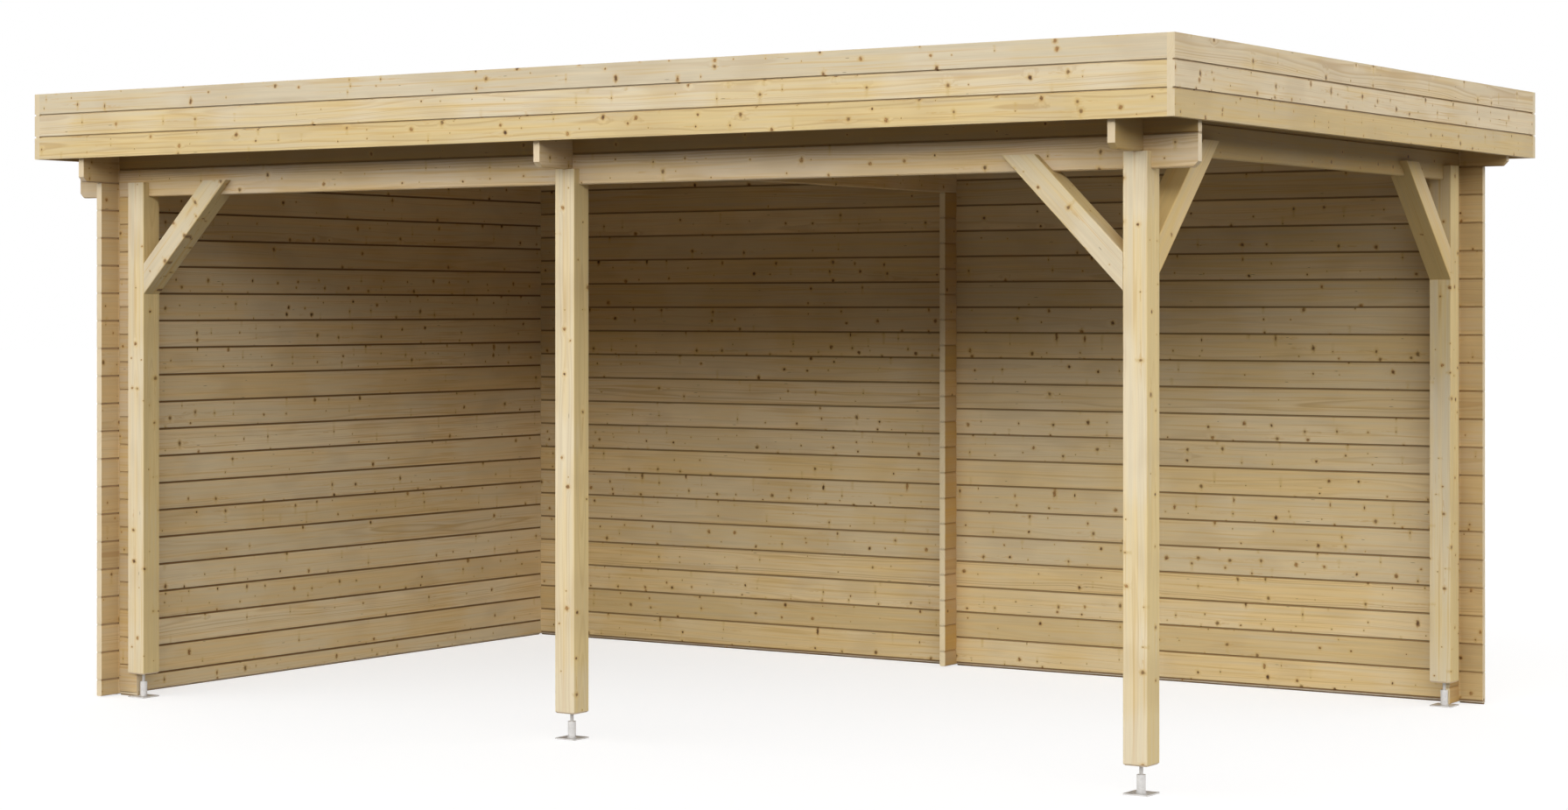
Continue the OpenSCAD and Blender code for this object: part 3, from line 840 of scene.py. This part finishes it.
def make_repeater():
    """A Geometry Nodes tree that sets copies of a mesh in rows, a bit loosely."""
    group = bpy.data.node_groups.new("repeat in rows", "GeometryNodeTree")
    sockets = {
        "Geometry": "Geometry", "Count": "Int", "Step": "Vector", "Rows": "Int",
        "Row Step": "Vector", "Looseness": "Vector", "Seed": "Int", "Material": "Material",
    }
    for name, kind in sockets.items():
        group.interface.new_socket(name, in_out="INPUT", socket_type="NodeSocket" + kind)
    group.interface.new_socket("Geometry", in_out="OUTPUT", socket_type="NodeSocketGeometry")
    given = group.nodes.new("NodeGroupInput").outputs

    def step(kind, sockets, **settings):
        return add_node(group, kind, sockets, **settings).outputs[0]

    one_row = step("GeometryNodeMeshLine", {"Count": given["Count"], "Offset": given["Step"]})
    starts = step("GeometryNodeMeshLine", {"Count": given["Rows"], "Offset": given["Row Step"]})
    rows = step("GeometryNodeInstanceOnPoints", {"Points": starts, "Instance": one_row})
    places = step("GeometryNodeRealizeInstances", {"Geometry": rows})
    sockets = {0: given["Looseness"], "Scale": -1.0}
    least = step("ShaderNodeVectorMath", sockets, operation="SCALE")
    sockets = {"Min": least, "Max": given["Looseness"], "Seed": given["Seed"]}
    luck = step("FunctionNodeRandomValue", sockets, data_type="FLOAT_VECTOR")
    loose = step("GeometryNodeSetPosition", {"Geometry": places, "Offset": luck})
    copies = step(
        "GeometryNodeInstanceOnPoints", {"Points": loose, "Instance": given["Geometry"]}
    )
    solid = step("GeometryNodeRealizeInstances", {"Geometry": copies})
    sockets = {"Geometry": solid, "Material": given["Material"]}
    finished = step("GeometryNodeSetMaterial", sockets)
    plug(group, finished, group.nodes.new("NodeGroupOutput").inputs[0])
    return group


repeater = make_repeater()


def repeat_in_rows(mesh, **wishes):
    """The plain mesh that the tree makes of this one with these inputs."""
    pattern = bpy.data.objects.new("pattern", mesh)
    scene.collection.objects.link(pattern)
    modifier = pattern.modifiers.new("repeat in rows", "NODES")
    modifier.node_group = repeater
    for item in repeater.interface.items_tree:
        wish = item.name.lower().replace(" ", "_")
        if item.in_out == "INPUT" and wish in wishes:
            modifier[item.identifier] = wishes[wish]
    bpy.context.view_layer.update()
    evaluated = pattern.evaluated_get(bpy.context.evaluated_depsgraph_get())
    made = bpy.data.meshes.new_from_object(evaluated)
    pattern.modifiers.remove(modifier)
    bpy.data.objects.remove(pattern)
    return made


left = deck_low.x + deck_joint
right = deck_low.x + deck_pitch - deck_joint
under = deck_high.z - deck_thickness
front_end = [
    Vector((left, deck_low.y, under + deck_bevel)),
    Vector((left + deck_bevel, deck_low.y, under)),
    Vector((right - deck_bevel, deck_low.y, under)),
    Vector((right, deck_low.y, under + deck_bevel)),
    Vector((right, deck_low.y, deck_high.z)),
    Vector((left, deck_low.y, deck_high.z)),
]
back_end = [point + Vector((0, deck_length, -deck_drop)) for point in front_end]
board = skin("roof board", [front_end, back_end], closed=False, smooth=False)

down_the_roof = Vector((0, deck_length, -deck_drop)).normalized()
out_of_roof = X_AXIS.cross(down_the_roof)
board_middle = Vector((0, 0, (deck_low.z + deck_high.z) / 2)).dot(out_of_roof)
roof_board_wood = spruce(
    "roof boards", down_the_roof, X_AXIS, out_of_roof, (deck_low.x, deck_pitch),
    one_board(board_middle), roof_colours, first=130.0,
)
boards = repeat_in_rows(
    board, count=deck_boards, step=(deck_pitch, 0, 0), rows=1, material=roof_board_wood
)
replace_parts(add_piece("roof_boards", boards, roof_board_wood), "roof_deck")


# ------------------------------------------------------------------ Roofing felt
# Mineral felt in four sheets laid across the fall from the back up, each
# lapped over the one below and nailed along the lap, turned up at the edges.
felt_thickness = 0.004
felt_turn_up = 0.06
felt_sheets = 4
lap_width = 0.09
lap_height = 0.003
lap_sink = felt_thickness / 4
felt_low, felt_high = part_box("roof_felt")
sheet_pitch = (felt_high.y - felt_low.y) / felt_sheets
inside_left = felt_low.x + felt_thickness
inside_width = felt_high.x - felt_low.x - 2 * felt_thickness


def roofing_felt():
    grain_size = 0.0016
    made = bpy.data.materials.new("roofing felt")
    made.use_nodes = True
    tree = made.node_tree
    place = tree.nodes.new("ShaderNodeTexCoord").outputs["Object"]
    sockets = {"Vector": place, "Scale": 1 / grain_size}
    grains = add_node(tree, "ShaderNodeTexVoronoi", sockets)
    grain_luck = split(tree, grains.outputs["Color"])[0]
    sockets = {"Vector": place, "Scale": 3.0, "Detail": 4.0}
    clouds = add_node(tree, "ShaderNodeTexNoise", sockets)
    level = grain_luck * 0.05 + Flow(tree, clouds.outputs["Fac"]) * 0.03 + 0.02
    sockets = {0: (0.94, 0.98, 1.0), "Scale": level}
    tint = add_node(tree, "ShaderNodeVectorMath", sockets, operation="SCALE")
    roundness = Flow(tree, grains.outputs["Distance"]) * -0.0004
    bump = add_node(tree, "ShaderNodeBump", {"Height": roundness, "Distance": 1.0})
    shader = tree.nodes["Principled BSDF"]
    plug(tree, tint.outputs[0], shader.inputs["Base Color"])
    plug(tree, grain_luck * 0.2 + 0.75, shader.inputs["Roughness"])
    plug(tree, bump.outputs[0], shader.inputs["Normal"])
    shader.inputs["Specular IOR Level"].default_value = 0.3
    return made


def felt_surface(y):
    """Height of the felt's upper side, which falls to the back."""
    front = felt_high.z - felt_turn_up + felt_thickness
    return front - (y - felt_low.y) * deck_drop / deck_length


felt = roofing_felt()
finish_nodes(felt, "roof_felt")
for lap in range(1, felt_sheets):
    edge = felt_low.y + sheet_pitch * lap
    start = edge - lap_width
    left_end = [
        Vector((inside_left, start, felt_surface(start) - lap_sink)),
        Vector((inside_left, edge, felt_surface(edge) - lap_sink)),
        Vector((inside_left, edge, felt_surface(edge) + lap_height)),
        Vector((inside_left, start, felt_surface(start))),
    ]
    right_end = [point + X_AXIS * inside_width for point in left_end]
    band = skin("felt lap", [left_end, right_end], closed=False, smooth=False)
    add_piece("felt_lap_%d" % lap, band, felt)


# ------------------------------------------------------------------ Clout nails
# Short galvanised nails with broad flat heads, driven by hand along each lap
# of the felt, about a hand's width apart.
nail_spacing = 0.1
nail_from_edge = 0.025
nail_radius = 0.0048
nail_crown = 0.7
nail_sides = 8
nail_height = 0.0012
nail_looseness = 0.006

nail_y = felt_low.y + sheet_pitch - nail_from_edge
nail_z = felt_surface(nail_y) + lap_height * (1 - nail_from_edge / lap_width)
nail = Vector((inside_left + nail_spacing / 2, nail_y, nail_z))
nail_head = skin(
    "clout nail",
    [
        circle(nail - Z_AXIS * nail_height, X_AXIS, Y_AXIS, nail_radius, nail_sides),
        circle(nail + Z_AXIS * nail_height / 2, X_AXIS, Y_AXIS, nail_radius, nail_sides),
        circle(
            nail + Z_AXIS * nail_height, X_AXIS, Y_AXIS, nail_radius * nail_crown, nail_sides
        ),
    ],
    closed=False, smooth=False,
)
row_drop = felt_surface(nail_y) - felt_surface(nail_y + sheet_pitch)
nail_heads = repeat_in_rows(
    nail_head, count=int(inside_width / nail_spacing), step=(nail_spacing, 0, 0),
    rows=felt_sheets - 1, row_step=(0, sheet_pitch, -row_drop),
    looseness=(nail_looseness, nail_looseness, 0), seed=4, material=steel,
)
add_piece("clout_nails", nail_heads, steel)


# ------------------------------------------------------------------ Fascia
# Three planed spruce boards one above the other, fixed across the ends of
# the roof logs with open joints. The lowest is cut from yellower wood.
fascia_course = 0.091
fascia_rows = (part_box("front_fascia")[0].z, fascia_course)
outer_faces = 0.02
front_colours = ((0.74, 0.63, 0.44, 1), (0.69, 0.53, 0.26, 1))
side_colours = ((0.72, 0.59, 0.39, 1), (0.67, 0.50, 0.24, 1))
for number, (name, along, depth, colours) in enumerate((
    ("front_fascia", X_AXIS, Y_AXIS, front_colours),
    ("back_fascia", X_AXIS, Y_AXIS, front_colours),
    ("left_fascia", Y_AXIS, X_AXIS, side_colours),
    ("right_fascia", Y_AXIS, X_AXIS, side_colours),
)):
    low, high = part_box(name)
    centre = (low + high) / 2
    # The faces inside the open joints take painted shade.
    fascia_wood = spruce(
        name.replace("_", " "), along, Z_AXIS, depth, fascia_rows,
        one_board(centre.dot(depth)), colours,
        first=92.0 + 11.3 * number, knots=1.0, yellow=-0.35, yellow_rows=1,
        joints=(low.z + outer_faces, high.z - outer_faces), ends=(0.72, 0.60, 0.40, 1),
    )
    finish_nodes(fascia_wood, name)
